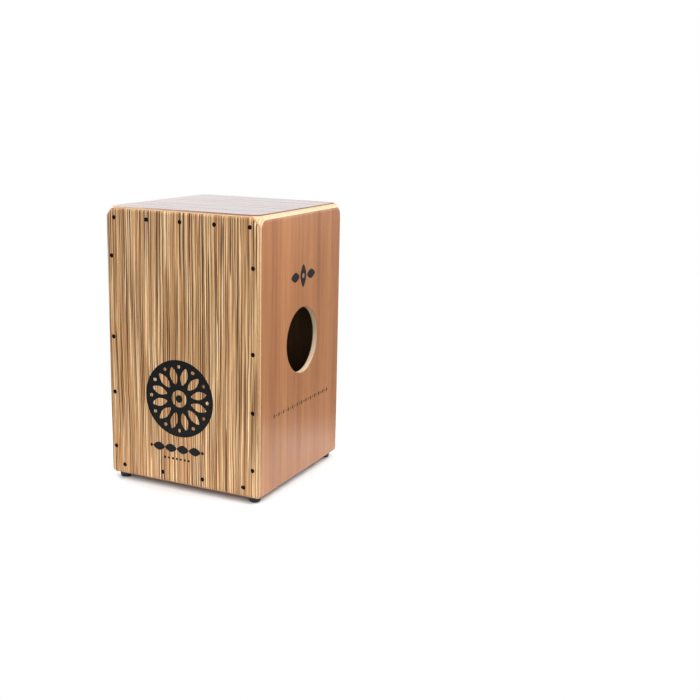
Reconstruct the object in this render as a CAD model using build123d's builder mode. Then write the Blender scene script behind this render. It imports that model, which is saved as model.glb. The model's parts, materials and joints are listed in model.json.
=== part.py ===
"""Double-faced cajon: a mitred plywood box with a screwed front tapa, a glued rear tapa, a side sound hole,
rubber feet and a swing-away snare behind the front tapa.

Millimetres. +Z is up, the front faces -Y, and the origin is on the floor at the middle of the box.
"""

import os
from itertools import product

from build123d import *

os.makedirs("parts", exist_ok=True)

# Driving dimensions of the box
WIDTH = 300.0
DEPTH = 300.0
BODY_HEIGHT = 470.0
FOOT_HEIGHT = 10.0
BOARD = 9.0
TAPA = 3.0

# Edge and corner rounding of the outside
CORNER_LEG = 20.0
SEAT_SIDE_ROUND = 12.0
SEAT_TAPA_ROUND = 8.0
UPRIGHT_ROUND = 9.0
BASE_ROUND = 8.0
OVERSIZE = 5.0

# Sound hole in the right side board
HOLE_RADIUS = 57.5
HOLE_Z = 254.0
HOLE_EDGE_ROUND = 1.0

# Battens and rails glued inside, behind both tapas
BATTEN_X = 15.0
BATTEN_Y = 15.0
RAIL_Z = 25.0

# Tapa screws: countersunk wood screws, rows measured from the body's bottom edge
SCREW_TOP_X = (-131.0, -65.5, 0.0, 65.5, 131.0)
SCREW_TOP_HEIGHT = 451.0
SCREW_SIDE_X = 137.3
SCREW_SIDE_HEIGHTS = (50.0, 148.0, 246.0, 386.0)
SCREW_BASE_X = (-120.0, -40.0, 40.0, 120.0)
SCREW_BASE_HEIGHT = 18.0
SCREW_HEAD_RADIUS = 3.7
SCREW_SHANK_RADIUS = 1.75
SCREW_HEAD_DEPTH = SCREW_HEAD_RADIUS - SCREW_SHANK_RADIUS
SCREW_LENGTH = 16.0
SCREW_TIP = 2.5
RECESS_SPAN = 4.2
RECESS_SLOT = 0.9
RECESS_DEPTH = 1.1
HOLE_CLEARANCE = 0.1

# Rubber feet and their fixings
FOOT_INSET = 18.5
FOOT_TOP_RADIUS = 10.5
FOOT_BASE_RADIUS = 8.8
FOOT_BASE_ROUND = 1.8
FOOT_RECESS_RADIUS = 5.6
FOOT_RECESS_DEPTH = 5.0
WASHER_RADIUS = 5.3
WASHER_THICKNESS = 1.0
FOOT_SCREW_RADIUS = 1.75
FOOT_SCREW_BITE = 7.0
PAN_HEAD_RADIUS = 3.6
PAN_HEAD_HEIGHT = 2.2
PAN_HEAD_ROUND = 1.0

# Snare: pivot axis along X, strands hanging just behind the front tapa
PIVOT_Y = -118.0
PIVOT_Z = 424.0
TAPA_GAP = 0.3
STRAND_RADIUS = 0.8
STRAND_COUNT = 10
STRAND_PITCH = 4.0
STRAND_LENGTH = 200.0
STRAND_TOP = PIVOT_Z - 4.0
SET_X = 66.0
END_PLATE = 1.0
UPPER_PLATE_WIDTH = 56.0
UPPER_PLATE_HEIGHT = 16.0
LOWER_PLATE_WIDTH = 42.0
LOWER_PLATE_HEIGHT = 10.0
PLATE_SCREW_SPREAD = 23.0
PLATE_SCREW_RADIUS = 1.5
PLATE_SCREW_HEAD_RADIUS = 2.6
PLATE_SCREW_HEAD = 1.4
PLATE_SCREW_TAIL = 2.0
STEEL = 2.0
BAR_TOP = PIVOT_Z - 3.0
BAR_BOTTOM = PIVOT_Z - 21.0
BAR_BEND = 3.0
EAR_RADIUS = 9.0
EAR_OUTER_X = 124.0

# Snare brackets, pivot bolts, washers and wing nuts
BRACKET_INNER_X = 125.0
BRACKET_FLANGE = 14.0
BRACKET_REACH = 24.0
BRACKET_TOP = PIVOT_Z + 16.0
BRACKET_BOTTOM = PIVOT_Z - 16.0
BRACKET_ROUND = 8.0
BRACKET_SCREW_HEIGHTS = (PIVOT_Z - 10.0, PIVOT_Z + 10.0)
BRACKET_SCREW_X = 133.5
BRACKET_SCREW_RADIUS = 1.5
BRACKET_SCREW_HEAD_RADIUS = 2.9
BRACKET_SCREW_HEAD = 1.8
BRACKET_SCREW_BITE = 11.0
BOLT_RADIUS = 2.5
BOLT_RUNNING_CLEARANCE = 0.05
BOLT_END_X = 108.0
BOLT_HEAD_RADIUS = 5.2
BOLT_HEAD_HEIGHT = 3.0
BOLT_HEAD_ROUND = 1.6
WASHER_OUTER_RADIUS = 6.5
MOVING_GAP = 0.3
NUT_HUB_RADIUS = 5.0
NUT_HUB_LENGTH = 6.0
NUT_HUB_CHAMFER = 0.8
WING_ROOT = 3.5
WING_SPAN = 13.0
WING_REACH = 11.0
WING_SET_BACK = 1.0
WING_LEAN = 4.0
WING_THICKNESS = 2.4
WING_ROUND = 2.5

# Planes that the pieces share
BODY_BASE = FOOT_HEIGHT
BODY_TOP = FOOT_HEIGHT + BODY_HEIGHT
FRONT = -DEPTH / 2
FRONT_INNER = FRONT + TAPA
REAR = DEPTH / 2
REAR_INNER = REAR - TAPA
SIDE = WIDTH / 2
SIDE_INNER = SIDE - BOARD
INSIDE_BASE = BODY_BASE + BOARD
INSIDE_TOP = BODY_TOP - BOARD
BATTEN_FACE_Y = FRONT_INNER + BATTEN_Y
BATTEN_FACE_X = SIDE_INNER - BATTEN_X
STRAND_Y = FRONT_INNER + TAPA_GAP + STRAND_RADIUS
PLATE_FRONT_Y = STRAND_Y + STRAND_RADIUS
BAR_FRONT_Y = PLATE_FRONT_Y + END_PLATE
BAR_REAR_Y = BAR_FRONT_Y + STEEL
BAR_RETURN_Y = BAR_REAR_Y + 2 * BAR_BEND
EAR_INNER_X = EAR_OUTER_X - STEEL
PIVOT_WASHER_THICKNESS = BRACKET_INNER_X - EAR_OUTER_X - MOVING_GAP
NUT_FACE_X = EAR_INNER_X - MOVING_GAP
PLATE_Z = STRAND_TOP - UPPER_PLATE_HEIGHT / 2
PLATE_SCREW_POSITIONS = [
    (side * SET_X + spread, PLATE_Z)
    for side, spread in product((-1, 1), (-PLATE_SCREW_SPREAD, PLATE_SCREW_SPREAD))
]

SCREW_POSITIONS = (
    [(x, BODY_BASE + SCREW_TOP_HEIGHT) for x in SCREW_TOP_X]
    + [(side * SCREW_SIDE_X, BODY_BASE + z) for side in (-1, 1) for z in SCREW_SIDE_HEIGHTS]
    + [(x, BODY_BASE + SCREW_BASE_HEIGHT) for x in SCREW_BASE_X]
)
FOOT_X = SIDE - FOOT_INSET
FOOT_Y = REAR - FOOT_INSET
FOOT_POSITIONS = {
    "front_left": (-FOOT_X, -FOOT_Y),
    "front_right": (FOOT_X, -FOOT_Y),
    "rear_left": (-FOOT_X, FOOT_Y),
    "rear_right": (FOOT_X, FOOT_Y),
}
SIDES = {"left": -1, "right": 1}


def save(piece, name):
    """Label a finished piece and write its STEP file."""
    piece.part.label = name
    export_step(piece.part, f"parts/{name}.step")


def front_plane(y):
    """Sketch plane facing the front: sketch x is +X, sketch y is +Z, and its normal is -Y."""
    return Plane(origin=(0, y, 0), x_dir=(1, 0, 0), z_dir=(0, -1, 0))


def side_plane(x, z_dir=1):
    """Sketch plane facing sideways at x, with sketch y along +Z."""
    return Plane(origin=(x, 0, 0), x_dir=(0, z_dir, 0), z_dir=(z_dir, 0, 0))


def sloping_edges(edges):
    """The edges around the corner facets, which lie along none of the axes."""
    return [edge for edge in edges if max(abs(v) for v in edge.tangent_at(0)) < 0.9]


# Outside of the finished body: a block with its upper corners and all its edges eased.
# The corner facets are rounded together with the seat's side edges, which run out into them.
with BuildPart() as envelope:
    with BuildSketch(Plane.XY.offset(BODY_BASE)):
        Rectangle(WIDTH, DEPTH)
    extrude(amount=BODY_HEIGHT)
    for x_sign, y_sign in product((-1, 1), (-1, 1)):
        facet_x = x_sign * (SIDE - CORNER_LEG / 3)
        facet_y = y_sign * (REAR - CORNER_LEG / 3)
        facet = Plane(origin=(facet_x, facet_y, BODY_TOP - CORNER_LEG / 3), z_dir=(x_sign, y_sign, 1))
        split(bisect_by=facet, keep=Keep.BOTTOM)
    seat_side_edges = envelope.edges().filter_by(Axis.Y).group_by(Axis.Z)[-1]
    fillet([*seat_side_edges, *sloping_edges(envelope.edges())], SEAT_SIDE_ROUND)
    fillet(envelope.edges().filter_by(Axis.Z), UPRIGHT_ROUND)
    fillet(envelope.edges().filter_by(Axis.X).group_by(Axis.Z)[-1], SEAT_TAPA_ROUND)
    fillet(envelope.edges().group_by(Axis.Z)[0], BASE_ROUND)


# Blanks start oversize outside, and the envelope trims them. Their mitres run on at 45 degrees.
BLANK_SIDE = SIDE + OVERSIZE
BLANK_BASE = BODY_BASE - OVERSIZE
BLANK_TOP = BODY_TOP + OVERSIZE

# Top and bottom boards, mitred into the side boards
for name, outer_z, inner_z in (
    ("top_board", BLANK_TOP, INSIDE_TOP),
    ("bottom_board", BLANK_BASE, INSIDE_BASE),
):
    with BuildPart() as level_board:
        with BuildSketch(front_plane(REAR_INNER)):
            with BuildLine():
                Polyline(
                    (-BLANK_SIDE, outer_z),
                    (BLANK_SIDE, outer_z),
                    (SIDE_INNER, inner_z),
                    (-SIDE_INNER, inner_z),
                    close=True,
                )
            make_face()
        extrude(amount=DEPTH - 2 * TAPA)
        add(envelope.part, mode=Mode.INTERSECT)
        if name == "bottom_board":
            with BuildSketch(Plane.XY.offset(BODY_BASE)):
                with Locations(*FOOT_POSITIONS.values()):
                    Circle(FOOT_SCREW_RADIUS)
            extrude(amount=FOOT_SCREW_BITE, mode=Mode.SUBTRACT)
    save(level_board, name)


# Side boards. The right one has the round sound hole, its outer edge sanded soft.
for side_name, side in SIDES.items():
    with BuildPart() as side_board:
        with BuildSketch(front_plane(REAR_INNER)):
            with BuildLine():
                Polyline(
                    (side * BLANK_SIDE, BLANK_BASE),
                    (side * BLANK_SIDE, BLANK_TOP),
                    (side * SIDE_INNER, INSIDE_TOP),
                    (side * SIDE_INNER, INSIDE_BASE),
                    close=True,
                )
            make_face()
        extrude(amount=DEPTH - 2 * TAPA)
        add(envelope.part, mode=Mode.INTERSECT)
        if side_name == "right":
            with BuildSketch(side_plane(SIDE)):
                with Locations((0, HOLE_Z)):
                    Circle(HOLE_RADIUS)
            extrude(amount=-BOARD, mode=Mode.SUBTRACT)
            fillet(side_board.edges().filter_by(GeomType.CIRCLE).group_by(Axis.X)[-1], HOLE_EDGE_ROUND)
    save(side_board, f"{side_name}_side_board")


# Front tapa: thin ply with a countersunk hole for each screw
with BuildPart() as front_tapa:
    with BuildSketch(front_plane(FRONT_INNER)):
        with Locations((0, BODY_BASE + BODY_HEIGHT / 2)):
            Rectangle(2 * BLANK_SIDE, BLANK_TOP - BLANK_BASE)
    extrude(amount=TAPA + OVERSIZE)
    add(envelope.part, mode=Mode.INTERSECT)
    with BuildSketch(front_plane(FRONT)):
        with Locations(*SCREW_POSITIONS):
            Circle(SCREW_SHANK_RADIUS + HOLE_CLEARANCE)
    extrude(amount=-TAPA, mode=Mode.SUBTRACT)
    with BuildSketch(front_plane(FRONT)):
        with Locations(*SCREW_POSITIONS):
            Circle(SCREW_HEAD_RADIUS + HOLE_CLEARANCE)
    extrude(amount=-SCREW_HEAD_DEPTH, taper=45, mode=Mode.SUBTRACT)
save(front_tapa, "front_tapa")


# Rear tapa: thin ply, glued to the rear frame
with BuildPart() as rear_tapa:
    with BuildSketch(front_plane(REAR_INNER)):
        with Locations((0, BODY_BASE + BODY_HEIGHT / 2)):
            Rectangle(2 * BLANK_SIDE, BLANK_TOP - BLANK_BASE)
    extrude(amount=-(TAPA + OVERSIZE))
    add(envelope.part, mode=Mode.INTERSECT)
save(rear_tapa, "rear_tapa")


# Tapa screws: countersunk heads with a cross recess, flush with the face
with BuildPart() as tapa_screws:
    with BuildSketch(front_plane(FRONT)):
        with Locations(*SCREW_POSITIONS):
            Circle(SCREW_HEAD_RADIUS)
    extrude(amount=-SCREW_HEAD_DEPTH, taper=45)
    with BuildSketch(front_plane(FRONT)):
        with Locations(*SCREW_POSITIONS):
            Circle(SCREW_SHANK_RADIUS)
    extrude(amount=SCREW_TIP - SCREW_LENGTH)
    with BuildSketch(front_plane(FRONT + SCREW_LENGTH - SCREW_TIP)):
        with Locations(*SCREW_POSITIONS):
            Circle(SCREW_SHANK_RADIUS)
    extrude(amount=-SCREW_TIP, taper=30)
    with BuildSketch(front_plane(FRONT)):
        with Locations(*SCREW_POSITIONS):
            Rectangle(RECESS_SPAN, RECESS_SLOT)
            Rectangle(RECESS_SLOT, RECESS_SPAN)
    extrude(amount=-RECESS_DEPTH, mode=Mode.SUBTRACT)
save(tapa_screws, "tapa_screws")


# Upright battens in the four inside corners. The front ones take tapa screws and bracket screws.
for side_name, side in SIDES.items():
    for face_name, face_y in (("front", FRONT_INNER), ("rear", REAR_INNER - BATTEN_Y)):
        with BuildPart() as batten:
            with BuildSketch(front_plane(face_y)):
                with Locations((side * (SIDE_INNER - BATTEN_X / 2), (INSIDE_BASE + INSIDE_TOP) / 2)):
                    Rectangle(BATTEN_X, INSIDE_TOP - INSIDE_BASE)
            extrude(amount=-BATTEN_Y)
            if face_name == "front":
                with BuildSketch(front_plane(FRONT_INNER)):
                    with Locations(*[(x, z) for x, z in SCREW_POSITIONS if side * x > BATTEN_FACE_X]):
                        Circle(SCREW_SHANK_RADIUS)
                extrude(amount=TAPA - SCREW_LENGTH, mode=Mode.SUBTRACT)
                with BuildSketch(front_plane(BATTEN_FACE_Y)):
                    with Locations(*[(side * BRACKET_SCREW_X, z) for z in BRACKET_SCREW_HEIGHTS]):
                        Circle(BRACKET_SCREW_RADIUS)
                extrude(amount=BRACKET_SCREW_BITE, mode=Mode.SUBTRACT)
        save(batten, f"{face_name}_{side_name}_batten")


# Rails between the battens. The front ones take the middle tapa screws.
for level_name, rail_z in (("top", INSIDE_TOP - RAIL_Z / 2), ("base", INSIDE_BASE + RAIL_Z / 2)):
    for face_name, face_y in (("front", FRONT_INNER), ("rear", REAR_INNER - BATTEN_Y)):
        with BuildPart() as rail:
            with BuildSketch(front_plane(face_y)):
                with Locations((0, rail_z)):
                    Rectangle(2 * BATTEN_FACE_X, RAIL_Z)
            extrude(amount=-BATTEN_Y)
            if face_name == "front":
                rail_screws = [
                    (x, z)
                    for x, z in SCREW_POSITIONS
                    if abs(z - rail_z) < RAIL_Z / 2 and abs(x) < BATTEN_FACE_X
                ]
                with BuildSketch(front_plane(FRONT_INNER)):
                    with Locations(*rail_screws):
                        Circle(SCREW_SHANK_RADIUS)
                extrude(amount=TAPA - SCREW_LENGTH, mode=Mode.SUBTRACT)
        save(rail, f"{face_name}_{level_name}_rail")


# Rubber feet, recessed underneath for the washer and the screw head
for foot_name, (foot_x, foot_y) in FOOT_POSITIONS.items():
    with BuildPart() as foot:
        with BuildSketch(Plane(origin=(foot_x, foot_y, 0), x_dir=(1, 0, 0), z_dir=(0, -1, 0))):
            with BuildLine():
                Polyline(
                    (0, 0),
                    (FOOT_BASE_RADIUS, 0),
                    (FOOT_TOP_RADIUS, FOOT_HEIGHT),
                    (0, FOOT_HEIGHT),
                    close=True,
                )
            make_face()
        revolve(axis=Axis((foot_x, foot_y, 0), (0, 0, 1)))
        fillet(foot.edges().filter_by(GeomType.CIRCLE).group_by(Axis.Z)[0], FOOT_BASE_ROUND)
        with BuildSketch(Plane.XY):
            with Locations((foot_x, foot_y)):
                Circle(FOOT_RECESS_RADIUS)
        extrude(amount=FOOT_RECESS_DEPTH, mode=Mode.SUBTRACT)
        with BuildSketch(Plane.XY):
            with Locations((foot_x, foot_y)):
                Circle(FOOT_SCREW_RADIUS + HOLE_CLEARANCE)
        extrude(amount=FOOT_HEIGHT, mode=Mode.SUBTRACT)
    save(foot, f"{foot_name}_foot")


# Steel washers that spread the screw heads' load in the rubber
with BuildPart() as foot_washers:
    with BuildSketch(Plane.XY.offset(FOOT_RECESS_DEPTH - WASHER_THICKNESS)):
        with Locations(*FOOT_POSITIONS.values()):
            Circle(WASHER_RADIUS)
            Circle(FOOT_SCREW_RADIUS + HOLE_CLEARANCE, mode=Mode.SUBTRACT)
    extrude(amount=WASHER_THICKNESS)
save(foot_washers, "foot_washers")


# Pan-head screws, up through the feet into the bottom board
with BuildPart() as foot_screws:
    with BuildSketch(Plane.XY.offset(FOOT_RECESS_DEPTH - WASHER_THICKNESS)):
        with Locations(*FOOT_POSITIONS.values()):
            Circle(PAN_HEAD_RADIUS)
    extrude(amount=-PAN_HEAD_HEIGHT)
    fillet(foot_screws.edges().group_by(Axis.Z)[0], PAN_HEAD_ROUND)
    with BuildSketch(Plane.XY.offset(FOOT_RECESS_DEPTH - WASHER_THICKNESS)):
        with Locations(*FOOT_POSITIONS.values()):
            Circle(FOOT_SCREW_RADIUS)
    extrude(amount=BODY_BASE + FOOT_SCREW_BITE - FOOT_RECESS_DEPTH + WASHER_THICKNESS)
    with BuildSketch(Plane.XY.offset(FOOT_RECESS_DEPTH - WASHER_THICKNESS - PAN_HEAD_HEIGHT)):
        with Locations(*FOOT_POSITIONS.values()):
            Rectangle(RECESS_SPAN, RECESS_SLOT)
            Rectangle(RECESS_SLOT, RECESS_SPAN)
    extrude(amount=RECESS_DEPTH, mode=Mode.SUBTRACT)
save(foot_screws, "foot_screws")


# Snare bar: sheet steel, its two ends folded back into ears that hang on the pivot bolts
with BuildPart() as snare_bar:
    with BuildSketch(Plane.XY.offset(BAR_BOTTOM)):
        with BuildLine():
            FilletPolyline(
                (-EAR_OUTER_X, BAR_RETURN_Y),
                (-EAR_OUTER_X, BAR_FRONT_Y),
                (EAR_OUTER_X, BAR_FRONT_Y),
                (EAR_OUTER_X, BAR_RETURN_Y),
                radius=BAR_BEND,
            )
            Line((EAR_OUTER_X, BAR_RETURN_Y), (EAR_INNER_X, BAR_RETURN_Y))
            FilletPolyline(
                (EAR_INNER_X, BAR_RETURN_Y),
                (EAR_INNER_X, BAR_REAR_Y),
                (-EAR_INNER_X, BAR_REAR_Y),
                (-EAR_INNER_X, BAR_RETURN_Y),
                radius=BAR_BEND - STEEL,
            )
            Line((-EAR_INNER_X, BAR_RETURN_Y), (-EAR_OUTER_X, BAR_RETURN_Y))
        make_face()
    extrude(amount=BAR_TOP - BAR_BOTTOM)
    for ear_x in (-EAR_OUTER_X, EAR_INNER_X):
        with BuildSketch(side_plane(ear_x)):
            with Locations((PIVOT_Y, PIVOT_Z)):
                Circle(EAR_RADIUS)
            with Locations((BAR_RETURN_Y - STEEL, (BAR_TOP + BAR_BOTTOM) / 2)):
                Rectangle(STEEL, BAR_TOP - BAR_BOTTOM)
            make_hull()
        extrude(amount=STEEL)
    with BuildSketch(side_plane(-EAR_OUTER_X)):
        with Locations((PIVOT_Y, PIVOT_Z)):
            Circle(BOLT_RADIUS + BOLT_RUNNING_CLEARANCE)
    extrude(amount=2 * EAR_OUTER_X, mode=Mode.SUBTRACT)
    with BuildSketch(front_plane(BAR_FRONT_Y)):
        with Locations(*PLATE_SCREW_POSITIONS):
            Circle(PLATE_SCREW_RADIUS)
    extrude(amount=-STEEL, mode=Mode.SUBTRACT)
save(snare_bar, "snare_bar")


# Snare sets: parallel strands between an upper end plate on the bar and a free lower end plate
for side_name, side in SIDES.items():
    set_x = side * SET_X
    strand_positions = [
        (set_x + (index - (STRAND_COUNT - 1) / 2) * STRAND_PITCH, STRAND_Y) for index in range(STRAND_COUNT)
    ]
    with BuildPart() as snare_strands:
        with BuildSketch(Plane.XY.offset(STRAND_TOP - STRAND_LENGTH)):
            with Locations(*strand_positions):
                Circle(STRAND_RADIUS)
        extrude(amount=STRAND_LENGTH)
    save(snare_strands, f"{side_name}_snare_strands")

    with BuildPart() as upper_plate:
        with BuildSketch(front_plane(BAR_FRONT_Y)):
            with Locations((set_x, PLATE_Z)):
                Rectangle(UPPER_PLATE_WIDTH, UPPER_PLATE_HEIGHT)
            with Locations(*[(x, z) for x, z in PLATE_SCREW_POSITIONS if side * x > 0]):
                Circle(PLATE_SCREW_RADIUS, mode=Mode.SUBTRACT)
        extrude(amount=END_PLATE)
    save(upper_plate, f"{side_name}_upper_snare_plate")

    with BuildPart() as lower_plate:
        with BuildSketch(front_plane(BAR_FRONT_Y)):
            with Locations((set_x, STRAND_TOP - STRAND_LENGTH + LOWER_PLATE_HEIGHT / 2)):
                Rectangle(LOWER_PLATE_WIDTH, LOWER_PLATE_HEIGHT)
        extrude(amount=END_PLATE)
    save(lower_plate, f"{side_name}_lower_snare_plate")


# Screws that hold the upper end plates on the snare bar
with BuildPart() as plate_screws:
    with BuildSketch(front_plane(PLATE_FRONT_Y)):
        with Locations(*PLATE_SCREW_POSITIONS):
            Circle(PLATE_SCREW_HEAD_RADIUS)
    extrude(amount=PLATE_SCREW_HEAD)
    fillet(plate_screws.edges().group_by(Axis.Y)[0], PLATE_SCREW_HEAD / 2)
    with BuildSketch(front_plane(PLATE_FRONT_Y)):
        with Locations(*PLATE_SCREW_POSITIONS):
            Circle(PLATE_SCREW_RADIUS)
    extrude(amount=-(END_PLATE + STEEL + PLATE_SCREW_TAIL))
save(plate_screws, "plate_screws")


# Pivot hardware on each side: bracket, bolt, washer and wing nut
for side_name, side in SIDES.items():
    with BuildPart() as bracket:
        with BuildSketch(Plane.XY.offset(BRACKET_BOTTOM)):
            with Locations((side * (BRACKET_INNER_X + BRACKET_FLANGE / 2), BATTEN_FACE_Y + STEEL / 2)):
                Rectangle(BRACKET_FLANGE, STEEL)
            with Locations((side * (BRACKET_INNER_X + STEEL / 2), BATTEN_FACE_Y + BRACKET_REACH / 2)):
                Rectangle(STEEL, BRACKET_REACH)
        extrude(amount=BRACKET_TOP - BRACKET_BOTTOM)
        fillet(bracket.edges().filter_by(Axis.X).group_by(Axis.Y)[-1], BRACKET_ROUND)
        with BuildSketch(front_plane(BATTEN_FACE_Y)):
            with Locations(*[(side * BRACKET_SCREW_X, z) for z in BRACKET_SCREW_HEIGHTS]):
                Circle(BRACKET_SCREW_RADIUS)
        extrude(amount=-STEEL, mode=Mode.SUBTRACT)
        with BuildSketch(side_plane(side * BRACKET_INNER_X, side)):
            with Locations((side * PIVOT_Y, PIVOT_Z)):
                Circle(BOLT_RADIUS)
        extrude(amount=STEEL, mode=Mode.SUBTRACT)
    save(bracket, f"{side_name}_snare_bracket")

    with BuildPart() as pivot_bolt:
        with BuildSketch(side_plane(side * (BRACKET_INNER_X + STEEL), side)):
            with Locations((side * PIVOT_Y, PIVOT_Z)):
                Circle(BOLT_HEAD_RADIUS)
        extrude(amount=BOLT_HEAD_HEIGHT)
        fillet(pivot_bolt.edges().group_by(Axis.X)[-1 if side > 0 else 0], BOLT_HEAD_ROUND)
        with BuildSketch(side_plane(side * (BRACKET_INNER_X + STEEL), side)):
            with Locations((side * PIVOT_Y, PIVOT_Z)):
                Circle(BOLT_RADIUS)
        extrude(amount=BOLT_END_X - BRACKET_INNER_X - STEEL)
    save(pivot_bolt, f"{side_name}_pivot_bolt")

    with BuildPart() as pivot_washer:
        with BuildSketch(side_plane(side * BRACKET_INNER_X, side)):
            with Locations((side * PIVOT_Y, PIVOT_Z)):
                Circle(WASHER_OUTER_RADIUS)
                Circle(BOLT_RADIUS, mode=Mode.SUBTRACT)
        extrude(amount=-PIVOT_WASHER_THICKNESS)
    save(pivot_washer, f"{side_name}_pivot_washer")

    with BuildPart() as wing_nut:
        with BuildSketch(side_plane(side * NUT_FACE_X, side)):
            with Locations((side * PIVOT_Y, PIVOT_Z)):
                Circle(NUT_HUB_RADIUS)
        extrude(amount=-NUT_HUB_LENGTH)
        chamfer(wing_nut.edges().group_by(Axis.X)[0 if side > 0 else -1], NUT_HUB_CHAMFER)
        for wing in (-1, 1):
            with BuildSketch(front_plane(PIVOT_Y - WING_THICKNESS / 2)) as wing_outline:
                with BuildLine():
                    Polyline(
                        (side * (NUT_FACE_X - WING_SET_BACK), PIVOT_Z + wing * WING_ROOT),
                        (side * (NUT_FACE_X - WING_LEAN), PIVOT_Z + wing * WING_SPAN),
                        (side * (NUT_FACE_X - WING_REACH), PIVOT_Z + wing * WING_SPAN),
                        (side * (NUT_FACE_X - NUT_HUB_LENGTH + WING_SET_BACK), PIVOT_Z + wing * WING_ROOT),
                        close=True,
                    )
                make_face()
                fillet(wing_outline.vertices().group_by(Axis.Y)[-1 if wing > 0 else 0], WING_ROUND)
            extrude(amount=-WING_THICKNESS)
        with BuildSketch(side_plane(side * NUT_FACE_X, side)):
            with Locations((side * PIVOT_Y, PIVOT_Z)):
                Circle(BOLT_RADIUS + BOLT_RUNNING_CLEARANCE)
        extrude(amount=-WING_REACH, mode=Mode.SUBTRACT)
    save(wing_nut, f"{side_name}_wing_nut")


# Wood screws that hold the brackets on the front battens
with BuildPart() as bracket_screws:
    bracket_screw_positions = list(product((-BRACKET_SCREW_X, BRACKET_SCREW_X), BRACKET_SCREW_HEIGHTS))
    with BuildSketch(front_plane(BATTEN_FACE_Y + STEEL)):
        with Locations(*bracket_screw_positions):
            Circle(BRACKET_SCREW_HEAD_RADIUS)
    extrude(amount=-BRACKET_SCREW_HEAD)
    fillet(bracket_screws.edges().group_by(Axis.Y)[-1], BRACKET_SCREW_HEAD / 2)
    with BuildSketch(front_plane(BATTEN_FACE_Y + STEEL)):
        with Locations(*bracket_screw_positions):
            Circle(BRACKET_SCREW_RADIUS)
    extrude(amount=STEEL + BRACKET_SCREW_BITE)
save(bracket_screws, "bracket_screws")
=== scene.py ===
"""Looks of the cajon: ply, veneer, ink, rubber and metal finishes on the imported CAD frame, with printed
ornaments and coiled snare strands added as pieces of their own. Metres, +Z up, the front faces -Y.
"""
import json
import math

import bpy
from mathutils import Euler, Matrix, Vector


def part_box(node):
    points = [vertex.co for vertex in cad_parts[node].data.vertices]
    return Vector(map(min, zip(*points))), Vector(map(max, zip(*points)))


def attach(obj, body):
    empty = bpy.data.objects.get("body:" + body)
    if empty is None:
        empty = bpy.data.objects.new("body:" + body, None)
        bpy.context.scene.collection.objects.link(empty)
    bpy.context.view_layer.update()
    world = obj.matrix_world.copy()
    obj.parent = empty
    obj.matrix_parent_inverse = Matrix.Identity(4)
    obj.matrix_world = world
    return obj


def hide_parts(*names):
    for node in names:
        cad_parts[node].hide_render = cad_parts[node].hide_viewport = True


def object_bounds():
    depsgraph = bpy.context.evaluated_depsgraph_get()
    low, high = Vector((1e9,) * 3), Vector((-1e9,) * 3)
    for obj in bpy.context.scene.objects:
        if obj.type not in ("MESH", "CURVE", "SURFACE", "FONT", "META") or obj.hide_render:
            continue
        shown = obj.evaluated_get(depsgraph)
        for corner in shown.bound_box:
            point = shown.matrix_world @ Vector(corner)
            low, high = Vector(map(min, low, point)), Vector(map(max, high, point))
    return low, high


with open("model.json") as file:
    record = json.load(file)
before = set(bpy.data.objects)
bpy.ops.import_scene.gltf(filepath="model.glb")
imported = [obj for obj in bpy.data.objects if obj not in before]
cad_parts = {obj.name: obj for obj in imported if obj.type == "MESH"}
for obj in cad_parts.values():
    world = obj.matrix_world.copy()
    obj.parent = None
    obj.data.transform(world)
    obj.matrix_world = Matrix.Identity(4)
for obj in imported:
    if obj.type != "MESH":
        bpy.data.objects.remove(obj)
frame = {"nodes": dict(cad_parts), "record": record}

MM = 0.001
cad_low, cad_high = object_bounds()
NODES = frame["nodes"]

# Planes of the box, read from the CAD nodes
TOP_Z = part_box("top_board")[1].z
BASE_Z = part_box("bottom_board")[0].z
SIDE_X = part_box("right_side_board")[1].x
FRONT_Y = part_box("front_tapa")[0].y
REAR_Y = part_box("rear_tapa")[1].y
BOARD = 9 * MM
TAPA = 3 * MM

# Layers of the ply, from the face inwards
VENEER = 0.7 * MM
GLUE = 0.14 * MM
BOARD_PLY = 1.9 * MM
TAPA_PLY = 1.15 * MM
RAW_SKIN = 0.6 * MM

# Where sanding went through the veneer. At the upper corners: its inset from the upright edge and from the
# top, the corner's radius, and the share of the depth below the face that counts. Along the lower edge: the
# share alone
SIDE_WEAR = (5.5 * MM, 8.0 * MM, 15.5 * MM, 1.0)
TAPA_WEAR = (3.8 * MM, 3.8 * MM, 7.0 * MM, 0.46)
LOWER_WEAR = 0.42
RAGGEDNESS = 0.12 * MM

# Printed ornaments: centre height above the body's lower edge, and their sizes
INK = 0.05 * MM
DISC_X = -5 * MM
DISC_HEIGHT = 153 * MM
DISC_RADIUS = 67 * MM
BAND_X = -11 * MM
BAND_HEIGHT = 57 * MM
CREST_HEIGHT = 356 * MM
DOTS_HEIGHT = 132 * MM
DOTS_SPAN = 200 * MM
DOT_COUNT = 25

# Camera, floor and studio
CAMERA_LOCATION = (0.9511, -1.5701, 0.6472)
CAMERA_ANGLES = (77.837, -1.048, 25.778)
CAMERA_LENS = 53.73
CAMERA_SHIFT = (0.03, -0.025)
FLOOR_RADIUS = 4.0
FLOOR_FADE = (0.24, 0.52)
SOFT_LIGHTS = {  # location, size and power
    "front_softbox": ((-0.8, -1.9, 1.8), 1.5, 33),
    "right_softbox": ((0.88, -0.25, 0.95), 0.7, 10.5),
    "rear_softbox": ((0.9, 1.9, 1.8), 1.5, 32),
    "left_softbox": ((-0.95, 0.25, 1.1), 0.7, 10),
    "overhead_softbox": ((0.0, 0.0, 2.3), 1.8, 16),
}


def srgb(red, green, blue):
    """A display colour, 0 to 255, as linear RGBA."""
    def linear(value):
        value /= 255
        return value / 12.92 if value <= 0.04045 else ((value + 0.055) / 1.055) ** 2.4
    return (linear(red), linear(green), linear(blue), 1.0)


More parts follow.
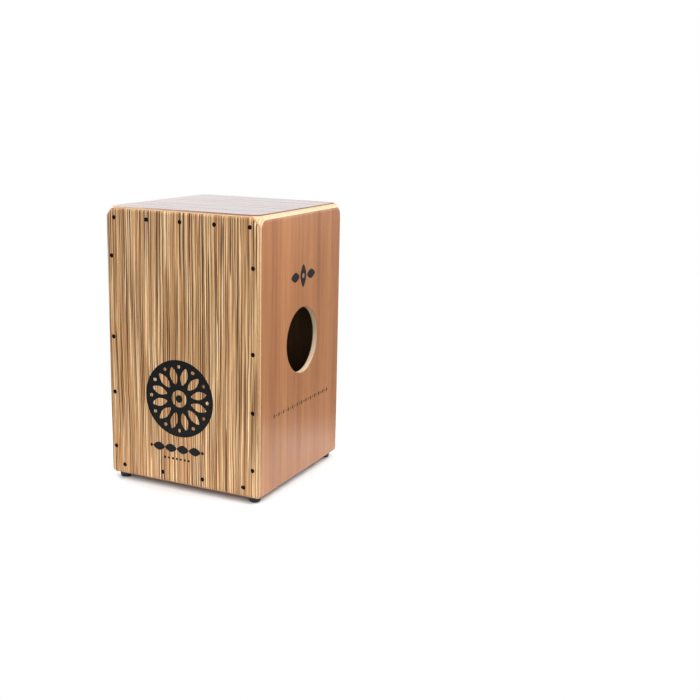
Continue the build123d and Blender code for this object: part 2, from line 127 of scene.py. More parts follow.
# Ramps of colour, as (position, colour) stops
MAHOGANY_TONES = (
    (0.34, srgb(128, 74, 41)),
    (0.45, srgb(156, 98, 56)),
    (0.54, srgb(170, 111, 66)),
    (0.68, srgb(190, 133, 86)),
)
ZEBRANO_TONES = (
    (0.38, srgb(142, 90, 48)),
    (0.46, srgb(188, 134, 84)),
    (0.54, srgb(214, 164, 112)),
    (0.62, srgb(230, 186, 136)),
)
BLACK_STAIN_TONES = ((0.30, srgb(20, 16, 16)), (0.70, srgb(35, 29, 27)))
LONG_GRAIN_TONES = ((0.30, srgb(206, 166, 124)), (0.70, srgb(230, 198, 158)))
END_GRAIN_TONES = ((0.30, srgb(184, 140, 98)), (0.70, srgb(214, 176, 134)))
RAW_FACE_TONES = ((0.30, srgb(140, 102, 70)), (0.70, srgb(178, 140, 104)))
FLOOR_TONES = ((0.3, (0.84, 0.84, 0.84, 1)), (0.7, (0.88, 0.88, 0.88, 1)))

# Single colours of the wood
MAHOGANY_PORE = srgb(96, 54, 34)
ZEBRANO_LIGHT_LINE = srgb(255, 224, 178)
ZEBRANO_DARK_LINE = srgb(66, 34, 15)
ZEBRANO_THIN_LINE = srgb(98, 58, 30)
ZEBRANO_FIBRE = srgb(96, 56, 28)
FRESH_PLY = srgb(250, 226, 196)
CORE_GLUE = srgb(128, 88, 58)
# Painted shadow of the hairline gaps: round the tapas' edges and along the mitres
GAP_SHADOW = srgb(104, 70, 46)
MITRE_GAP_SHADOW = srgb(120, 84, 56)

# How each kind of board is layered and finished: glue is the width of the line at the veneer's sanded edge,
# shade darkens the veneer as painted shade, and gloss is the weight of the lacquer, of which a share of
# EDGE_GLOSS is left where the veneer is gone
EDGE_GLOSS = 0.25
BASE_PLYWOOD = {
    "figure": "mahogany",
    "thickness": BOARD,
    "ply": BOARD_PLY,
    "glue": GLUE,
    "glue_tone": srgb(120, 78, 48),
    "shade": 0.0,
    "gloss": 0.75,
    "coat_roughness": 0.12,
    "wear": None,
    "hole": False,
}
# Painted shade: the seat's veneer is a darker copy of the sides' mahogany
SEAT_PLYWOOD = {
    **BASE_PLYWOOD,
    "glue": 0.75 * MM,
    "glue_tone": srgb(78, 46, 30),
    "shade": 0.14,
    "gloss": 1.0,
}
SIDE_PLYWOOD = {**BASE_PLYWOOD, "wear": SIDE_WEAR}
HOLED_PLYWOOD = {**SIDE_PLYWOOD, "hole": True}
FRONT_PLYWOOD = {
    **BASE_PLYWOOD,
    "figure": "zebrano",
    "thickness": TAPA,
    "ply": TAPA_PLY,
    "gloss": 0.12,
    "coat_roughness": 0.30,
    "wear": TAPA_WEAR,
}
REAR_PLYWOOD = {**FRONT_PLYWOOD, "figure": "black"}


class Graph:
    """Short calls that build one node tree."""

    def __init__(self, tree):
        self.tree = tree
        tree.nodes.clear()

    def feed(self, socket, value):
        if isinstance(value, bpy.types.NodeSocket):
            self.tree.links.new(value, socket)
        else:
            socket.default_value = value

    def add(self, kind, inputs=None, **settings):
        node = self.tree.nodes.new(kind)
        for name, value in settings.items():
            setattr(node, name, value)
        for name, value in (inputs or {}).items():
            self.feed(node.inputs[name], value)
        return node

    def math(self, operation, *values):
        node = self.add("ShaderNodeMath", operation=operation)
        for socket, value in zip(node.inputs, values):
            self.feed(socket, value)
        return node.outputs[0]

    def remap(self, value, low, high, to_low=0.0, to_high=1.0):
        """A smooth step from to_low, where value is low, to to_high, where it is high."""
        node = self.add(
            "ShaderNodeMapRange",
            {"Value": value, "From Min": low, "From Max": high, "To Min": to_low, "To Max": to_high},
            interpolation_type="SMOOTHSTEP",
        )
        return node.outputs[0]

    def ramp(self, value, stops):
        node = self.add("ShaderNodeValToRGB", {"Fac": value})
        elements = node.color_ramp.elements
        while len(elements) < len(stops):
            elements.new(1.0)
        for element, (position, colour) in zip(elements, stops):
            element.position = position
            element.color = colour
        return node.outputs["Color"]

    def mix(self, factor, first, second, blend="MIX"):
        node = self.add("ShaderNodeMix", data_type="RGBA", blend_type=blend)
        self.feed(node.inputs[0], factor)
        self.feed(node.inputs[6], first)
        self.feed(node.inputs[7], second)
        return node.outputs[2]

    def noise(self, vector, detail=2.0, roughness=0.5):
        node = self.add(
            "ShaderNodeTexNoise", {"Vector": vector, "Scale": 1.0, "Detail": detail, "Roughness": roughness}
        )
        return node.outputs["Fac"]

    def grain(self, across, fine, along, coarse, seed, detail=2.0, roughness=0.5):
        """Noise drawn out along the grain: fine cells a metre across it, coarse cells a metre along it."""
        return self.noise(self.vector((across, fine, seed), (along, coarse, 0)), detail, roughness)

    def speckle(self, place, cells, detail=2.0, roughness=0.5):
        """Noise of the same size every way, in cells a metre."""
        return self.noise(self.vector(*[(value, cells, 0) for value in place]), detail, roughness)

    def length(self, first, second):
        """Length of the vector that has these two components."""
        squares = [self.math("MULTIPLY", value, value) for value in (first, second)]
        return self.math("SQRT", self.math("ADD", *squares))

    def place(self):
        """The piece's own x, y and z, in metres in the row frame."""
        coordinates = self.add("ShaderNodeTexCoord")
        split = self.add("ShaderNodeSeparateXYZ", {"Vector": coordinates.outputs["Object"]})
        return [split.outputs[axis] for axis in "XYZ"]

    def vector(self, *scaled):
        """A vector from (value, scale, offset) triples. A component that isn't given is 0."""
        parts = [self.math("MULTIPLY_ADD", value, scale, offset) for value, scale, offset in scaled]
        return self.add("ShaderNodeCombineXYZ", dict(zip("XYZ", parts))).outputs[0]

    def bump(self, height, distance, strength=1.0):
        node = self.add("ShaderNodeBump", {"Height": height, "Distance": distance, "Strength": strength})
        return node.outputs[0]


def new_material(name, **constants):
    """A material with a Principled shader whose constants sit on its own sockets."""
    material = bpy.data.materials.new(name)
    material.use_nodes = True
    graph = Graph(material.node_tree)
    shader = graph.add("ShaderNodeBsdfPrincipled", constants)
    output = graph.add("ShaderNodeOutputMaterial")
    graph.feed(output.inputs["Surface"], shader.outputs[0])
    return material, graph, shader


def mahogany(graph, across, depth, along, seed, shade=0.0):
    """Plain reddish veneer: soft ribbons, streaks and fine pores along the grain, darker by shade, a painted
    shade. Returns colour and height."""
    ribbons = graph.noise(graph.vector((across, 16, seed), (depth, 16, 0), (along, 1.1, seed)), 3, 0.6)
    streaks = graph.noise(graph.vector((across, 150, seed), (depth, 150, 0), (along, 3.2, 0)), 4, 0.6)
    fibres = graph.noise(graph.vector((across, 900, 0), (depth, 900, seed), (along, 22, 0)), 2, 0.7)
    pores = graph.noise(graph.vector((across, 1500, seed), (depth, 1500, 0), (along, 110, 0)), 1, 0.5)
    tone = graph.math("MULTIPLY_ADD", ribbons, 0.50, graph.math("MULTIPLY", streaks, 0.33))
    # Painted shade: the tone drops by shade
    tone = graph.math("SUBTRACT", graph.math("MULTIPLY_ADD", fibres, 0.17, tone), shade)
    colour = graph.ramp(tone, MAHOGANY_TONES)
    pore = graph.remap(pores, 0.34, 0.27)
    colour = graph.mix(graph.math("MULTIPLY", pore, 0.55), colour, MAHOGANY_PORE)
    height = graph.math("SUBTRACT", fibres, pore)
    return colour, height


def grain_lines(graph, bent, along, pitch, run, seed, width):
    """Thin lines along the grain that swell and fade, unevenly spaced, about pitch of them a metre. width is
    how far the widest reach to either side, as a share of the spacing. 1 on a line and 0 between lines."""
    wander = graph.grain(bent, 0.45 * pitch, along, run, seed, 1, 0.5)
    phase = graph.math("MULTIPLY_ADD", bent, pitch, graph.math("MULTIPLY", wander, 2.2))
    off_line = graph.math("PINGPONG", phase, 0.5)
    swell = graph.noise(graph.vector((bent, 0.8 * pitch, 0), (along, 2.2 * run, seed)), 1, 0.5)
    reach = graph.remap(swell, 0.36, 0.62, -0.10, width)
    return graph.remap(graph.math("SUBTRACT", off_line, reach), 0.09, 0.02)


def zebrano(graph, across, along, seed):
    """Tan veneer with fine, slightly wavering light and dark lines along the grain.
    Returns colour and height."""
    sway = graph.grain(across, 7, along, 2.6, seed)
    waver = graph.noise(graph.vector((across, 40, 0), (along, 15, seed)))
    bent = graph.math("MULTIPLY_ADD", sway, 0.012, across)
    bent = graph.math("MULTIPLY_ADD", waver, 0.0022, bent)
    broad = graph.grain(bent, 270, along, 1.5, seed)
    fine = graph.grain(bent, 900, along, 4, seed, 2, 0.6)
    patches = graph.grain(bent, 60, along, 4, seed, 1)
    fibres = graph.noise(graph.vector((bent, 2400, 0), (along, 60, 0), (along, 0, seed)), 1)
    tone = graph.math("MULTIPLY_ADD", broad, 0.55, graph.math("MULTIPLY", fine, 0.45))
    colour = graph.ramp(tone, ZEBRANO_TONES)
    light = grain_lines(graph, bent, along, 215, 1.7, seed + 2, 0.15)
    dark = grain_lines(graph, bent, along, 240, 1.7, seed + 5, 0.19)
    thin = grain_lines(graph, bent, along, 440, 2.8, seed + 9, 0.16)
    strength = graph.remap(patches, 0.32, 0.62, 0.65, 0.98)
    colour = graph.mix(graph.math("MULTIPLY", light, 0.80), colour, ZEBRANO_LIGHT_LINE)
    colour = graph.mix(graph.math("MULTIPLY", dark, strength), colour, ZEBRANO_DARK_LINE)
    colour = graph.mix(graph.math("MULTIPLY", thin, 0.70), colour, ZEBRANO_THIN_LINE)
    colour = graph.mix(graph.remap(fibres, 0.42, 0.28, 0, 0.30), colour, ZEBRANO_FIBRE)
    height = graph.math("MULTIPLY_ADD", fibres, 0.5, graph.math("SUBTRACT", fine, dark))
    return colour, height


def black_stain(graph, across, along, seed):
    """Black-stained veneer whose fine grain still shows in the satin. Returns colour and height."""
    streaks = graph.grain(across, 170, along, 3.0, seed, 3, 0.6)
    fibres = graph.grain(across, 1300, along, 30, seed, 2, 0.6)
    colour = graph.ramp(streaks, BLACK_STAIN_TONES)
    height = graph.math("MULTIPLY_ADD", streaks, 0.6, fibres)
    return colour, height


def veneer_figure(graph, plywood, where, seed):
    """Colour and height of a board's face veneer."""
    if plywood["figure"] == "zebrano":
        return zebrano(graph, where["across"], where["along"], seed)
    if plywood["figure"] == "black":
        return black_stain(graph, where["across"], where["along"], seed)
    return mahogany(graph, where["across"], where["depth"], where["along"], seed, plywood["shade"])


def ply_core(graph, depth, run, cross, ply, seed):
    """Pale plies seen on edge: tones that alternate, thin glue lines and short fibre marks."""
    layer = graph.math("DIVIDE", graph.math("SUBTRACT", depth, VENEER), ply)
    wobble = graph.noise(graph.vector((run, 45, seed), (cross, 45, 0), (depth, 45, 0)), 2, 0.5)
    layer = graph.math("MULTIPLY_ADD", wobble, 0.10, layer)
    odd = graph.remap(graph.math("PINGPONG", layer, 1.0), 0.40, 0.60)
    fibres = graph.noise(graph.vector((run, 320, 0), (cross, 320, seed), (depth, 2600, 0)), 2, 0.6)
    long_grain = graph.ramp(fibres, LONG_GRAIN_TONES)
    end_grain = graph.ramp(fibres, END_GRAIN_TONES)
    colour = graph.mix(odd, long_grain, end_grain)
    off_line = graph.math("PINGPONG", graph.math("SUBTRACT", layer, 0.5), 0.5)
    return graph.mix(graph.remap(off_line, 0.07, 0.02, 0, 0.55), colour, CORE_GLUE)


def corner_wear(graph, depth, run, height, edge_inset, top_inset, radius, share):
    """Depth below the face, deepened beyond the rounded corners that the sanding left at the top of the
    veneer, and shallower along the lower edge, where the veneer runs further round."""
    past_run = graph.math("SUBTRACT", graph.math("ABSOLUTE", run), SIDE_X - edge_inset - radius)
    past_top = graph.math("SUBTRACT", height, TOP_Z - top_inset - radius)
    reach = graph.length(graph.math("MAXIMUM", past_run, 0.0), graph.math("MAXIMUM", past_top, 0.0))
    beyond = graph.math("MAXIMUM", graph.math("SUBTRACT", reach, radius), 0.0)
    counted = graph.remap(height, BASE_Z + 5 * MM, BASE_Z + 12 * MM, LOWER_WEAR, share)
    return graph.math("ADD", graph.math("MULTIPLY", depth, counted), beyond)


def hole_wall(graph, where):
    """How far a point belongs to the freshly cut, paler wall of the sound hole, 0 to 0.6."""
    hole = next(mount for mount in frame["record"]["mounts"] if mount["name"] == "sound_hole")
    sideways = graph.math("SUBTRACT", where["Y"], hole["pos_m"][1])
    upwards = graph.math("SUBTRACT", where["Z"], hole["pos_m"][2])
    radius = hole["dims"]["r_mm"] * MM
    return graph.remap(graph.length(sideways, upwards), radius + 2 * MM, radius + 1 * MM, 0.0, 0.6)


def tapa_gap_shadow(graph, colour, where):
    """Hair-thin line of painted shadow round a tapa's edge, in place of a shaded gap where it meets the
    boards.
    """
    to_seam = graph.math("SUBTRACT", TAPA, where["depth"])
    return graph.mix(graph.remap(to_seam, 0.30 * MM, 0.12 * MM, 0, 0.30), colour, GAP_SHADOW)


def board_gap_shadows(graph, colour, where):
    """Hair-thin lines of painted shadow on a board, in place of shaded gaps where it meets the tapas and
    along its mitres.
    """
    to_tapa = graph.math("SUBTRACT", REAR_Y - TAPA, graph.math("ABSOLUTE", where["Y"]))
    colour = graph.mix(graph.remap(to_tapa, 0.30 * MM, 0.10 * MM, 0, 0.35), colour, GAP_SHADOW)
    level = graph.math("ABSOLUTE", graph.math("SUBTRACT", where["Z"], (TOP_Z + BASE_Z) / 2))
    off_level = graph.math("SUBTRACT", (TOP_Z - BASE_Z) / 2, level)
    off_side = graph.math("SUBTRACT", SIDE_X, graph.math("ABSOLUTE", where["X"]))
    to_mitre = graph.math("ABSOLUTE", graph.math("SUBTRACT", off_level, off_side))
    return graph.mix(graph.remap(to_mitre, 0.34 * MM, 0.14 * MM, 0, 0.6), colour, MITRE_GAP_SHADOW)


def board_coordinates(graph, axis, face, outward, grain):
    """Where a point of a board is: its X, Y and Z, its depth below the face, and its place along and across
    the grain. outward is 1 if the face looks up the axis and -1 if it looks down it."""
    where = dict(zip("XYZ", graph.place()))
    ends = (face, where[axis]) if outward > 0 else (where[axis], face)
    where["depth"] = graph.math("SUBTRACT", *ends)
    where["along"] = where[grain]
    where["across"] = where[({"X", "Y", "Z"} - {axis, grain}).pop()]
    return where


def raw_face(graph, across, along, seed):
    """Unfinished face on the inside of the boards."""
    return graph.ramp(graph.grain(across, 90, along, 2.5, seed, 4, 0.6), RAW_FACE_TONES)


def board_material(name, plywood, axis, face, outward, grain, seed):
    """Ply that shows its veneer, glue line, plies and raw inner face by the depth below its outside face."""
    material, graph, shader = new_material(name, **{
        "IOR": 1.5,
        "Specular IOR Level": 0.25,
        "Coat IOR": 1.5,
        "Coat Roughness": plywood["coat_roughness"],
    })
    where = board_coordinates(graph, axis, face, outward, grain)
    depth, along, across = where["depth"], where["along"], where["across"]
    worn = depth
    if plywood["wear"]:
        run = where["X" if axis == "Y" else "Y"]
        worn = corner_wear(graph, depth, run, where["Z"], *plywood["wear"])
    spot = graph.vector((where["X"], 500, seed), (where["Y"], 500, 0), (where["Z"], 500, 0))
    ragged = graph.math("MULTIPLY_ADD", graph.noise(spot, 2, 0.6), RAGGEDNESS, worn)
    raw_depth = plywood["thickness"] - RAW_SKIN
    lacquered = graph.remap(depth, raw_depth, raw_depth + GLUE, 1.0, 0.0)

    veneer, height = veneer_figure(graph, plywood, where, seed)
    colour = ply_core(graph, depth, along, across, plywood["ply"], seed)
    if plywood["hole"]:
        colour = graph.mix(hole_wall(graph, where), colour, FRESH_PLY)
    glue_end = VENEER + plywood["glue"]
    colour = graph.mix(graph.remap(ragged, glue_end, glue_end + GLUE), plywood["glue_tone"], colour)
    colour = graph.mix(lacquered, raw_face(graph, across, along, seed), colour)
    colour = graph.mix(graph.remap(ragged, VENEER, VENEER + GLUE), veneer, colour)
    # Painted shadow lines along the joints, in place of shaded gaps
    draw_gap_shadows = tapa_gap_shadow if axis == "Y" else board_gap_shadows
    graph.feed(shader.inputs["Base Color"], draw_gap_shadows(graph, colour, where))

    gloss = plywood["gloss"]
    coat = graph.remap(ragged, VENEER, VENEER + GLUE, gloss, EDGE_GLOSS * gloss)
    sunk = graph.noise(graph.vector((across, 90, seed), (along, 2.5, 0), (depth, 90, 0)), 3, 0.6)
    coat = graph.math("MULTIPLY", coat, graph.remap(sunk, 0.35, 0.60, 0.80, 1.0))
    graph.feed(shader.inputs["Coat Weight"], graph.math("MULTIPLY", lacquered, coat))
    smudge = graph.noise(graph.vector((across, 7, seed), (along, 7, 0), (depth, 7, 0)), 3, 0.6)
    rough = graph.remap(smudge, 0.3, 0.7, 0.42, 0.56)
    bare = graph.math("SUBTRACT", 1.0, lacquered)
    graph.feed(shader.inputs["Roughness"], graph.math("MULTIPLY_ADD", bare, 0.3, rough))
    graph.feed(shader.inputs["Normal"], graph.bump(height, 0.05 * MM, 0.35))
    return material


def batten_material(name, grain):
    """Planed softwood with growth lines along the batten."""
    material, graph, shader = new_material(name, **{"IOR": 1.45, "Specular IOR Level": 0.2})
    place = dict(zip("XYZ", graph.place()))
    along = place.pop(grain)
    first, second = place.values()
    sway = graph.noise(graph.vector((first, 20, 0), (second, 20, 0), (along, 4, 0)))
    swayed = graph.math("MULTIPLY_ADD", sway, 0.004, first)
    rings = graph.noise(graph.vector((swayed, 420, 0), (second, 260, 0), (along, 2, 0)))
    fibres = graph.noise(graph.vector((first, 1500, 0), (second, 1500, 0), (along, 40, 0)), 2, 0.6)
    colour = graph.ramp(rings, [(0.35, srgb(184, 140, 92)), (0.60, srgb(226, 190, 142))])
    colour = graph.mix(graph.remap(fibres, 0.45, 0.30, 0, 0.3), colour, srgb(150, 108, 68))
    graph.feed(shader.inputs["Base Color"], colour)
    graph.feed(shader.inputs["Roughness"], graph.remap(fibres, 0.3, 0.7, 0.62, 0.8))
    graph.feed(shader.inputs["Normal"], graph.bump(fibres, 0.06 * MM, 0.5))
    return material


def metal_material(name, dark, light, rough, brushed=None):
    """Metal whose colour and roughness drift, with fine brush lines along one axis if brushed is given."""
    material, graph, shader = new_material(name, **{"Metallic": 1.0, "IOR": 1.5})
    place = dict(zip("XYZ", graph.place()))
    scratch_cells = dict.fromkeys("XYZ", 2400 if brushed else 900)
    if brushed:
        scratch_cells[brushed] = 40
    blotches = graph.speckle(place.values(), 160, 3, 0.6)
    scratches = graph.noise(graph.vector(*[(place[axis], scratch_cells[axis], 0) for axis in "XYZ"]), 2, 0.6)
    graph.feed(shader.inputs["Base Color"], graph.ramp(blotches, [(0.35, dark), (0.65, light)]))
    wear = graph.math("MULTIPLY_ADD", scratches, 0.5, graph.math("MULTIPLY", blotches, 0.5))
    graph.feed(shader.inputs["Roughness"], graph.remap(wear, 0.35, 0.65, rough - 0.08, rough + 0.10))
    graph.feed(shader.inputs["Normal"], graph.bump(scratches, 0.02 * MM, 0.5))
    return material


def moulded_material(name, dark, light, rough, grit):
    """Rubber or plastic with a slightly uneven, dusty skin."""
    material, graph, shader = new_material(name, **{"IOR": 1.5, "Specular IOR Level": 0.35})
    place = graph.place()
    dust = graph.speckle(place, 120, 4, 0.6)
    grain = graph.speckle(place, grit, 2, 0.6)
    graph.feed(shader.inputs["Base Color"], graph.ramp(dust, [(0.35, dark), (0.70, light)]))
    graph.feed(shader.inputs["Roughness"], graph.remap(dust, 0.3, 0.7, rough - 0.06, rough + 0.08))
    graph.feed(shader.inputs["Normal"], graph.bump(grain, 0.04 * MM, 0.5))
    return material


def paint(material, *names):
    """Give CAD nodes a material in place of the plain one they were packed with."""
    for name in names:
        for slot in NODES[name].material_slots:
            slot.material = material


def finish_boards():
    for node, *facts in (
        ("top_board", "top_ply", SEAT_PLYWOOD, "Z", TOP_Z, 1, "X", 3.1),
        ("bottom_board", "bottom_ply", BASE_PLYWOOD, "Z", BASE_Z, -1, "X", 8.4),
        ("left_side_board", "left_ply", SIDE_PLYWOOD, "X", -SIDE_X, -1, "Z", 14.7),
        ("right_side_board", "right_ply", HOLED_PLYWOOD, "X", SIDE_X, 1, "Z", 21.9),
        ("front_tapa", "zebrano_ply", FRONT_PLYWOOD, "Y", FRONT_Y, -1, "Z", 7.6),
        ("rear_tapa", "black_ply", REAR_PLYWOOD, "Y", REAR_Y, 1, "Z", 31.2),
    ):
        paint(board_material(*facts), node)


def finish_inside():
    uprights = [f"{face}_{side}_batten" for face in ("front", "rear") for side in ("left", "right")]
    rails = [f"{face}_{level}_rail" for face in ("front", "rear") for level in ("top", "base")]
    paint(batten_material("upright_softwood", "Z"), *uprights)
    paint(batten_material("rail_softwood", "X"), *rails)
    zinc = metal_material("zinc_plate", srgb(176, 178, 182), srgb(214, 215, 212), 0.30)
    paint(zinc, "foot_washers", "foot_screws", "bracket_screws", "plate_screws")
    for side in ("left", "right"):
        paint(zinc, f"{side}_snare_bracket", f"{side}_pivot_bolt", f"{side}_wing_nut")
    paint(metal_material("rolled_steel", srgb(150, 152, 156), srgb(188, 190, 192), 0.34, "X"), "snare_bar")
    brass = metal_material("brass_sheet", srgb(186, 142, 74), srgb(216, 176, 104), 0.28, "X")
    for side in ("left", "right"):
        paint(brass, f"{side}_upper_snare_plate", f"{side}_lower_snare_plate")
    nylon = moulded_material("nylon", srgb(206, 204, 196), srgb(226, 224, 216), 0.42, 1500)
    paint(nylon, "left_pivot_washer", "right_pivot_washer")


def finish_outside_fittings():
    black_oxide = metal_material("black_oxide", srgb(20, 18, 18), srgb(38, 34, 33), 0.42)
    paint(black_oxide, "tapa_screws")
    rubber = moulded_material("foot_rubber", srgb(26, 26, 27), srgb(46, 45, 45), 0.62, 2200)
    paint(rubber, *[f"{end}_{side}_foot" for end in ("front", "rear") for side in ("left", "right")])


def circle(x, y, radius, count=48):
    return [
        (x + radius * math.cos(2 * math.pi * i / count), y + radius * math.sin(2 * math.pi * i / count))
        for i in range(count)
    ]


def lozenge(x, y, length, width, angle=0.0):
    """A leaf-shaped lozenge along angle, its sides slightly bowed outwards."""
    outline = []
    for i in range(16):
        turn = 2 * math.pi * i / 16
        along = math.copysign(abs(math.cos(turn)) ** 1.35, math.cos(turn)) * length / 2
        across = math.copysign(abs(math.sin(turn)) ** 1.35, math.sin(turn)) * width / 2
        outline.append((x + along * math.cos(angle) - across * math.sin(angle),
                        y + along * math.sin(angle) + across * math.cos(angle)))
    return outline


def rosette_disc():
    """Solid disc with a ring, twelve lozenges and a beaded circle left open in it."""
    outlines = [circle(0, 0, DISC_RADIUS, 128)]
    for i in range(12):
        angle = 2 * math.pi * (i + 0.5) / 12
        reach = 0.60 * DISC_RADIUS
        outlines.append(lozenge(reach * math.cos(angle), reach * math.sin(angle),
                                0.46 * DISC_RADIUS, 0.21 * DISC_RADIUS, angle))
        bead = 2 * math.pi * i / 12
        outlines.append(circle(0.83 * DISC_RADIUS * math.cos(bead), 0.83 * DISC_RADIUS * math.sin(bead),
                               0.045 * DISC_RADIUS, 24))
    outlines.append(circle(0, 0, 0.22 * DISC_RADIUS, 48))
    outlines.append(circle(0, 0, 0.10 * DISC_RADIUS, 32))
    return outlines


def band_ornament():
    """Row of lozenges between two beads, over a short row of small dots."""
    outlines = [lozenge(x * MM, 7 * MM, 24 * MM, 15 * MM) for x in (-36, -12, 12, 36)]
    outlines += [circle(x * MM, 7 * MM, 2.8 * MM, 24) for x in (-51.5, 51.5)]
    outlines += [circle(x * MM, -11 * MM, 2.2 * MM, 24) for x in (-24, -16, -8, 0, 8, 16, 24)]
    return outlines


def crest_ornament():
    """An upright lozenge between two flat ones."""
    upright = lozenge(0, 0, 40 * MM, 22 * MM, math.pi / 2)
    core = circle(0, 0, 4.2 * MM, 32)
    return [upright, core, lozenge(-29 * MM, 0, 30 * MM, 17 * MM), lozenge(29 * MM, 0, 30 * MM, 17 * MM)]


def dot_row():
    pitch = DOTS_SPAN / (DOT_COUNT - 1)
    outlines = []
    for i in range(DOT_COUNT):
        y = pitch * i - DOTS_SPAN / 2
        outlines.append(circle(y, 0, 1.5 * MM, 20) if i % 2 else lozenge(y, 0, 8 * MM, 4.4 * MM, math.pi / 2))
    return outlines


def ink_material(name, dark, light, rough):
    """Screen-printed ink: thin, a little uneven in tone and gloss."""
    material, graph, shader = new_material(name, **{"IOR": 1.5, "Specular IOR Level": 0.22})
    place = graph.place()
    film = graph.speckle(place, 240, 4, 0.6)
    skin = graph.speckle(place, 1700)
    graph.feed(shader.inputs["Base Color"], graph.ramp(film, [(0.35, dark), (0.65, light)]))
    graph.feed(shader.inputs["Roughness"], graph.remap(film, 0.3, 0.7, rough - 0.05, rough + 0.07))
    graph.feed(shader.inputs["Normal"], graph.bump(skin, 0.02 * MM, 0.4))
    return material


def print_ornament(name, outlines, centre, right, up, material):
    """Fill flat outlines, nested ones left open, as a film of ink on the plane through centre."""
    curve = bpy.data.curves.new(name, "CURVE")
    curve.dimensions = "2D"
    curve.fill_mode = "BOTH"
    curve.extrude = INK
    for outline in outlines:
        spline = curve.splines.new("POLY")
        spline.points.add(len(outline) - 1)
        spline.use_cyclic_u = True
        for point, (x, y) in zip(spline.points, outline):
            point.co = (x, y, 0, 1)
    shape = bpy.data.objects.new(name + "_outline", curve)
    bpy.context.scene.collection.objects.link(shape)
    mesh = bpy.data.meshes.new_from_object(shape)
    bpy.data.objects.remove(shape)
    mesh.name = name
    right, up = Vector(right), Vector(up)
    normal = right.cross(up)
    for vertex in mesh.vertices:
        vertex.co = Vector(centre) + vertex.co.x * right + vertex.co.y * up + vertex.co.z * normal
    mesh.materials.clear()
    mesh.materials.append(material)
    piece = bpy.data.objects.new(name, mesh)
    bpy.context.scene.collection.objects.link(piece)
    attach(piece, "box")


def print_ornaments():
    black_ink = ink_material("black_ink", srgb(6, 6, 7), srgb(13, 12, 14), 0.46)
    brown_ink = ink_material("brown_black_ink", srgb(22, 15, 13), srgb(36, 25, 22), 0.36)
    white_ink = ink_material("white_ink", srgb(226, 224, 226), srgb(240, 239, 241), 0.46)
    up = (0, 0, 1)
    for name, y, x_sign, ink, slot in (
        ("front", FRONT_Y, 1, black_ink, "striped_ply"),
        ("rear", REAR_Y, -1, white_ink, "black_ply"),
    ):
        right = (x_sign, 0, 0)
        disc = (x_sign * DISC_X, y, BASE_Z + DISC_HEIGHT)
        band = (x_sign * BAND_X, y, BASE_Z + BAND_HEIGHT)
        print_ornament(f"{name}_rosette_print", rosette_disc(), disc, right, up, ink)
        print_ornament(f"{name}_band_print", band_ornament(), band, right, up, ink)
    right = (0, 1, 0)
    crest = (SIDE_X, 0, BASE_Z + CREST_HEIGHT)
    print_ornament("side_crest_print", crest_ornament(), crest, right, up, brown_ink)
    dots = (SIDE_X, 0, BASE_Z + DOTS_HEIGHT)
    print_ornament("side_dots_print", dot_row(), dots, right, up, brown_ink)


# Coiled snare strands
STRAND_COUNT = 10
COIL_PITCH = 1.6 * MM
WIRE_RADIUS = 0.28 * MM
STEPS_PER_TURN = 10
WIRE_SIDES = 4


def coil_tube(vertices, faces, x, y, low, high, radius):
    """Add one upright coil of wire from low to high to the lists, its ends closed."""
    steps = int((high - low - 2 * WIRE_RADIUS) / COIL_PITCH * STEPS_PER_TURN)
    first = len(vertices)
    slope = math.atan2(COIL_PITCH, 2 * math.pi * radius)
    lean = math.sin(slope)
    for i in range(steps + 1):
        turn = 2 * math.pi * i / STEPS_PER_TURN
        outward = Vector((math.cos(turn), math.sin(turn), 0))
        sideways = Vector((math.sin(turn) * lean, -math.cos(turn) * lean, math.cos(slope)))
        axis_point = Vector((x, y, low + WIRE_RADIUS + COIL_PITCH * i / STEPS_PER_TURN))
        centre = axis_point + outward * radius
        for j in range(WIRE_SIDES):
            angle = 2 * math.pi * (j + 0.5) / WIRE_SIDES
            vertices.append(centre + WIRE_RADIUS * (math.cos(angle) * outward + math.sin(angle) * sideways))
    for i in range(steps):
        ring = first + i * WIRE_SIDES
        for j in range(WIRE_SIDES):
            k = (j + 1) % WIRE_SIDES
            faces.append((ring + j, ring + k, ring + WIRE_SIDES + k, ring + WIRE_SIDES + j))
    last = first + steps * WIRE_SIDES
    faces.append(tuple(range(first + WIRE_SIDES - 1, first - 1, -1)))
    faces.append(tuple(range(last, last + WIRE_SIDES)))


def coil_strands():
    """A coil of wire in place of each plain strand of the snare."""
    steel = metal_material("strand_wire", srgb(170, 172, 176), srgb(206, 207, 208), 0.24)
    for side in ("left", "right"):
        node = f"{side}_snare_strands"
        low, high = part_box(node)
        strand_radius = (high.y - low.y) / 2
        pitch = (high.x - low.x - 2 * strand_radius) / (STRAND_COUNT - 1)
        vertices, faces = [], []
        for i in range(STRAND_COUNT):
            x = low.x + strand_radius + pitch * i
            coil_tube(vertices, faces, x, (low.y + high.y) / 2, low.z, high.z, strand_radius - WIRE_RADIUS)
        mesh = bpy.data.meshes.new(f"{side}_snare_coils")
        mesh.from_pydata(vertices, [], faces)
        mesh.polygons.foreach_set("use_smooth", [True] * len(faces))
        mesh.materials.append(steel)
        piece = bpy.data.objects.new(f"{side}_snare_coils", mesh)
        bpy.context.scene.collection.objects.link(piece)
        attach(piece, "snare")
        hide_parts(node)


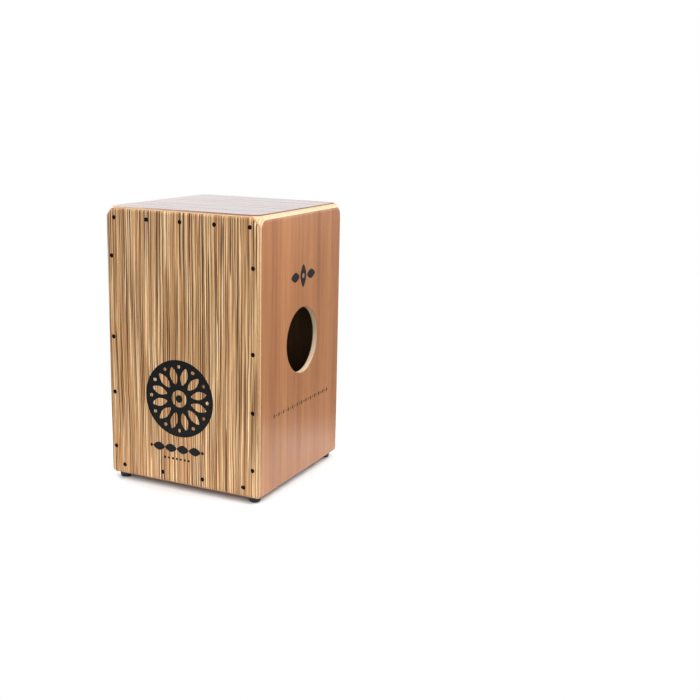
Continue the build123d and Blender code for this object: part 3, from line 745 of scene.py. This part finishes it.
def build_floor():
    """Pale floor that fades into the background well away from the box."""
    mesh = bpy.data.meshes.new("floor")
    rim = [(x, y, 0) for x, y in circle(0, 0, FLOOR_RADIUS, 64)]
    mesh.from_pydata(rim, [], [tuple(range(len(rim)))])
    floor = bpy.data.objects.new("floor", mesh)
    bpy.context.scene.collection.objects.link(floor)
    material, graph, shader = new_material("pale_floor", **{"Roughness": 0.9, "Specular IOR Level": 0.1})
    place = graph.place()
    cloud = graph.speckle(place, 3)
    graph.feed(shader.inputs["Base Color"], graph.ramp(cloud, FLOOR_TONES))
    distance = graph.length(place[0], place[1])
    clear = graph.add("ShaderNodeBsdfTransparent")
    blend = graph.add("ShaderNodeMixShader")
    graph.feed(blend.inputs[0], graph.remap(distance, *FLOOR_FADE))
    graph.feed(blend.inputs[1], shader.outputs[0])
    graph.feed(blend.inputs[2], clear.outputs[0])
    output = next(node for node in graph.tree.nodes if node.type == "OUTPUT_MATERIAL")
    graph.feed(output.inputs["Surface"], blend.outputs[0])
    mesh.materials.append(material)


def soft_light(name, location, size, power):
    """A square area light that faces the middle of the box."""
    data = bpy.data.lights.new(name, "AREA")
    data.shape = "SQUARE"
    data.size = size
    data.energy = power
    light = bpy.data.objects.new(name, data)
    light.location = location
    aim = (cad_low + cad_high) / 2 - Vector(location)
    light.rotation_euler = aim.to_track_quat("-Z", "Y").to_euler()
    bpy.context.scene.collection.objects.link(light)


def build_studio():
    """White background, a cool surround that glows in a band about the horizon, and five soft lights."""
    scene = bpy.context.scene
    scene.view_settings.view_transform = "Standard"
    scene.world = bpy.data.worlds.new("studio")
    scene.world.use_nodes = True
    graph = Graph(scene.world.node_tree)
    coordinates = graph.add("ShaderNodeTexCoord")
    height = graph.add("ShaderNodeSeparateXYZ", {"Vector": coordinates.outputs["Generated"]}).outputs["Z"]
    rise = graph.remap(height, -0.17, 0.02, 0.25, 1.15)
    fall = graph.remap(height, 0.27, 0.42, 0.0, 0.85)
    glow = graph.math("SUBTRACT", rise, fall)
    surround = graph.add("ShaderNodeBackground", {"Color": (0.84, 0.94, 1.0, 1), "Strength": glow})
    backdrop = graph.add("ShaderNodeBackground", {"Color": (1, 1, 1, 1), "Strength": 1.0})
    path = graph.add("ShaderNodeLightPath")
    blend = graph.add("ShaderNodeMixShader")
    graph.feed(blend.inputs[0], path.outputs["Is Camera Ray"])
    graph.feed(blend.inputs[1], surround.outputs[0])
    graph.feed(blend.inputs[2], backdrop.outputs[0])
    output = graph.add("ShaderNodeOutputWorld")
    graph.feed(output.inputs["Surface"], blend.outputs[0])
    for name, (location, size, power) in SOFT_LIGHTS.items():
        soft_light(name, location, size, power)


def build_camera():
    data = bpy.data.cameras.new("camera")
    data.lens = CAMERA_LENS
    data.shift_x, data.shift_y = CAMERA_SHIFT
    data.dof.use_dof = False
    camera = bpy.data.objects.new("camera", data)
    camera.location = CAMERA_LOCATION
    camera.rotation_euler = Euler([math.radians(angle) for angle in CAMERA_ANGLES])
    bpy.context.scene.collection.objects.link(camera)
    bpy.context.scene.camera = camera


build_camera()
build_studio()
build_floor()
finish_boards()
finish_inside()
finish_outside_fittings()
print_ornaments()
coil_strands()
